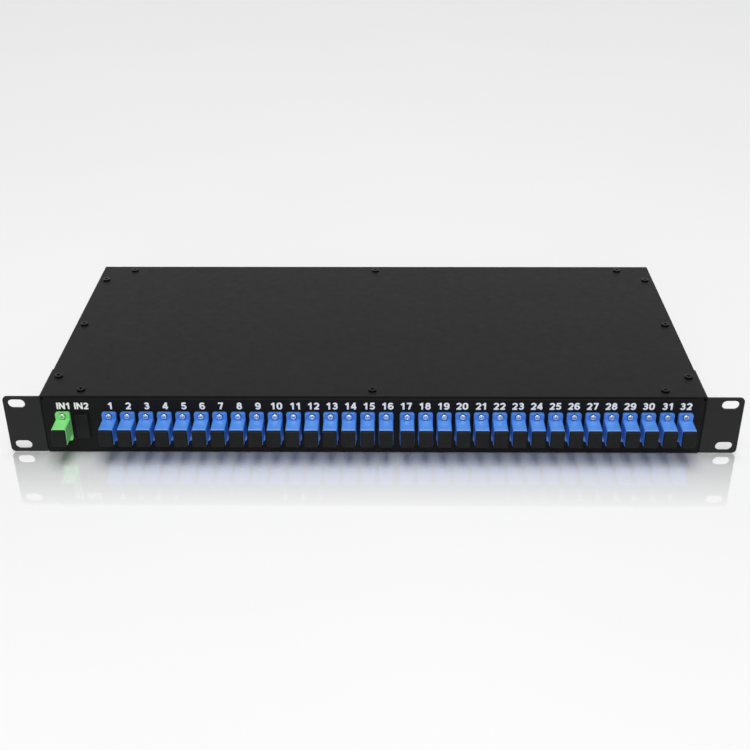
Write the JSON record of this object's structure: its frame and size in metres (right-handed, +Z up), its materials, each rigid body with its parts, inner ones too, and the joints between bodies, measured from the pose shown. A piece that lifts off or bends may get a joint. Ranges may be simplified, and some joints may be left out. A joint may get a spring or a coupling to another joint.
{
  "type": "rack optical distribution frame",
  "caption": "Rack-mount sheet-steel fibre distribution frame: a low black chassis with slotted ears and a row of capped, numbered front adapters for splitter inputs and outputs.",
  "frame": {"origin": "middle of the chassis underside", "axes": "+X to the right seen from the front, +Y from the front panel to the rear, +Z up"},
  "size_m": [0.4826, 0.2171, 0.0452],
  "materials": {
    "powder_coat": "fine-textured black powder coat",
    "black_screw": "black oxide",
    "nickel_screw": "bright nickel plate",
    "zinc_steel": "zinc plate",
    "blue_plastic": "moulded, satin gloss",
    "green_plastic": "moulded, satin gloss",
    "cap_plastic": "soft moulded, dark grey",
    "black_plastic": "moulded, fine texture",
    "natural_plastic": "natural, unpainted",
    "sleeve_ceramic": "polished zirconia",
    "boot_rubber": "soft moulded",
    "module_plastic": "moulded, fine texture",
    "fibre_jacket": "extruded jacket"
  },
  "bodies": {
    "chassis": {"chassis_tray": "powder_coat", "front_panel": "powder_coat", "top_cover": "powder_coat", "left_ear_bracket": "powder_coat", "right_ear_bracket": "powder_coat", "cover_screws": "black_screw", "cover_nuts": "zinc_steel", "ear_screws": "black_screw", "ear_nuts": "zinc_steel", "input_adapter_front": "green_plastic", "input_adapter_rear": "green_plastic", "output_adapter_fronts": "blue_plastic", "output_adapter_rears": "blue_plastic", "latch_holders": "natural_plastic", "alignment_sleeves": "sleeve_ceramic", "adapter_screws": "nickel_screw", "adapter_nuts": "zinc_steel", "blank_plug": "black_plastic", "input_plug": "green_plastic", "output_plugs": "blue_plastic", "ferrules": "sleeve_ceramic", "plug_boots": "boot_rubber", "splitter_module": "module_plastic", "module_spacers": "zinc_steel", "module_screws": "zinc_steel", "fibre_pigtails": "fibre_jacket", "fibre_guides": "natural_plastic"},
    "dust_cap_in1": {"dust_cap_in1": "cap_plastic"},
    "dust_cap_01": {"dust_cap_01": "cap_plastic"},
    "dust_cap_02": {"dust_cap_02": "cap_plastic"},
    "dust_cap_03": {"dust_cap_03": "cap_plastic"},
    "dust_cap_04": {"dust_cap_04": "cap_plastic"},
    "dust_cap_05": {"dust_cap_05": "cap_plastic"},
    "dust_cap_06": {"dust_cap_06": "cap_plastic"},
    "dust_cap_07": {"dust_cap_07": "cap_plastic"},
    "dust_cap_08": {"dust_cap_08": "cap_plastic"},
    "dust_cap_09": {"dust_cap_09": "cap_plastic"},
    "dust_cap_10": {"dust_cap_10": "cap_plastic"},
    "dust_cap_11": {"dust_cap_11": "cap_plastic"},
    "dust_cap_12": {"dust_cap_12": "cap_plastic"},
    "dust_cap_13": {"dust_cap_13": "cap_plastic"},
    "dust_cap_14": {"dust_cap_14": "cap_plastic"},
    "dust_cap_15": {"dust_cap_15": "cap_plastic"},
    "dust_cap_16": {"dust_cap_16": "cap_plastic"},
    "dust_cap_17": {"dust_cap_17": "cap_plastic"},
    "dust_cap_18": {"dust_cap_18": "cap_plastic"},
    "dust_cap_19": {"dust_cap_19": "cap_plastic"},
    "dust_cap_20": {"dust_cap_20": "cap_plastic"},
    "dust_cap_21": {"dust_cap_21": "cap_plastic"},
    "dust_cap_22": {"dust_cap_22": "cap_plastic"},
    "dust_cap_23": {"dust_cap_23": "cap_plastic"},
    "dust_cap_24": {"dust_cap_24": "cap_plastic"},
    "dust_cap_25": {"dust_cap_25": "cap_plastic"},
    "dust_cap_26": {"dust_cap_26": "cap_plastic"},
    "dust_cap_27": {"dust_cap_27": "cap_plastic"},
    "dust_cap_28": {"dust_cap_28": "cap_plastic"},
    "dust_cap_29": {"dust_cap_29": "cap_plastic"},
    "dust_cap_30": {"dust_cap_30": "cap_plastic"},
    "dust_cap_31": {"dust_cap_31": "cap_plastic"},
    "dust_cap_32": {"dust_cap_32": "cap_plastic"}
  },
  "joints": [
    {"name": "pull_cap_in1", "type": "slide", "parent": "chassis", "child": "dust_cap_in1", "axis": [0, -1, 0], "range_m": [0, 0.015]},
    {"name": "pull_cap_01", "type": "slide", "parent": "chassis", "child": "dust_cap_01", "axis": [0, -1, 0], "range_m": [0, 0.015]},
    {"name": "pull_cap_02", "type": "slide", "parent": "chassis", "child": "dust_cap_02", "axis": [0, -1, 0], "range_m": [0, 0.015]},
    {"name": "pull_cap_03", "type": "slide", "parent": "chassis", "child": "dust_cap_03", "axis": [0, -1, 0], "range_m": [0, 0.015]},
    {"name": "pull_cap_04", "type": "slide", "parent": "chassis", "child": "dust_cap_04", "axis": [0, -1, 0], "range_m": [0, 0.015]},
    {"name": "pull_cap_05", "type": "slide", "parent": "chassis", "child": "dust_cap_05", "axis": [0, -1, 0], "range_m": [0, 0.015]},
    {"name": "pull_cap_06", "type": "slide", "parent": "chassis", "child": "dust_cap_06", "axis": [0, -1, 0], "range_m": [0, 0.015]},
    {"name": "pull_cap_07", "type": "slide", "parent": "chassis", "child": "dust_cap_07", "axis": [0, -1, 0], "range_m": [0, 0.015]},
    {"name": "pull_cap_08", "type": "slide", "parent": "chassis", "child": "dust_cap_08", "axis": [0, -1, 0], "range_m": [0, 0.015]},
    {"name": "pull_cap_09", "type": "slide", "parent": "chassis", "child": "dust_cap_09", "axis": [0, -1, 0], "range_m": [0, 0.015]},
    {"name": "pull_cap_10", "type": "slide", "parent": "chassis", "child": "dust_cap_10", "axis": [0, -1, 0], "range_m": [0, 0.015]},
    {"name": "pull_cap_11", "type": "slide", "parent": "chassis", "child": "dust_cap_11", "axis": [0, -1, 0], "range_m": [0, 0.015]},
    {"name": "pull_cap_12", "type": "slide", "parent": "chassis", "child": "dust_cap_12", "axis": [0, -1, 0], "range_m": [0, 0.015]},
    {"name": "pull_cap_13", "type": "slide", "parent": "chassis", "child": "dust_cap_13", "axis": [0, -1, 0], "range_m": [0, 0.015]},
    {"name": "pull_cap_14", "type": "slide", "parent": "chassis", "child": "dust_cap_14", "axis": [0, -1, 0], "range_m": [0, 0.015]},
    {"name": "pull_cap_15", "type": "slide", "parent": "chassis", "child": "dust_cap_15", "axis": [0, -1, 0], "range_m": [0, 0.015]},
    {"name": "pull_cap_16", "type": "slide", "parent": "chassis", "child": "dust_cap_16", "axis": [0, -1, 0], "range_m": [0, 0.015]},
    {"name": "pull_cap_17", "type": "slide", "parent": "chassis", "child": "dust_cap_17", "axis": [0, -1, 0], "range_m": [0, 0.015]},
    {"name": "pull_cap_18", "type": "slide", "parent": "chassis", "child": "dust_cap_18", "axis": [0, -1, 0], "range_m": [0, 0.015]},
    {"name": "pull_cap_19", "type": "slide", "parent": "chassis", "child": "dust_cap_19", "axis": [0, -1, 0], "range_m": [0, 0.015]},
    {"name": "pull_cap_20", "type": "slide", "parent": "chassis", "child": "dust_cap_20", "axis": [0, -1, 0], "range_m": [0, 0.015]},
    {"name": "pull_cap_21", "type": "slide", "parent": "chassis", "child": "dust_cap_21", "axis": [0, -1, 0], "range_m": [0, 0.015]},
    {"name": "pull_cap_22", "type": "slide", "parent": "chassis", "child": "dust_cap_22", "axis": [0, -1, 0], "range_m": [0, 0.015]},
    {"name": "pull_cap_23", "type": "slide", "parent": "chassis", "child": "dust_cap_23", "axis": [0, -1, 0], "range_m": [0, 0.015]},
    {"name": "pull_cap_24", "type": "slide", "parent": "chassis", "child": "dust_cap_24", "axis": [0, -1, 0], "range_m": [0, 0.015]},
    {"name": "pull_cap_25", "type": "slide", "parent": "chassis", "child": "dust_cap_25", "axis": [0, -1, 0], "range_m": [0, 0.015]},
    {"name": "pull_cap_26", "type": "slide", "parent": "chassis", "child": "dust_cap_26", "axis": [0, -1, 0], "range_m": [0, 0.015]},
    {"name": "pull_cap_27", "type": "slide", "parent": "chassis", "child": "dust_cap_27", "axis": [0, -1, 0], "range_m": [0, 0.015]},
    {"name": "pull_cap_28", "type": "slide", "parent": "chassis", "child": "dust_cap_28", "axis": [0, -1, 0], "range_m": [0, 0.015]},
    {"name": "pull_cap_29", "type": "slide", "parent": "chassis", "child": "dust_cap_29", "axis": [0, -1, 0], "range_m": [0, 0.015]},
    {"name": "pull_cap_30", "type": "slide", "parent": "chassis", "child": "dust_cap_30", "axis": [0, -1, 0], "range_m": [0, 0.015]},
    {"name": "pull_cap_31", "type": "slide", "parent": "chassis", "child": "dust_cap_31", "axis": [0, -1, 0], "range_m": [0, 0.015]},
    {"name": "pull_cap_32", "type": "slide", "parent": "chassis", "child": "dust_cap_32", "axis": [0, -1, 0], "range_m": [0, 0.015]}
  ]
}
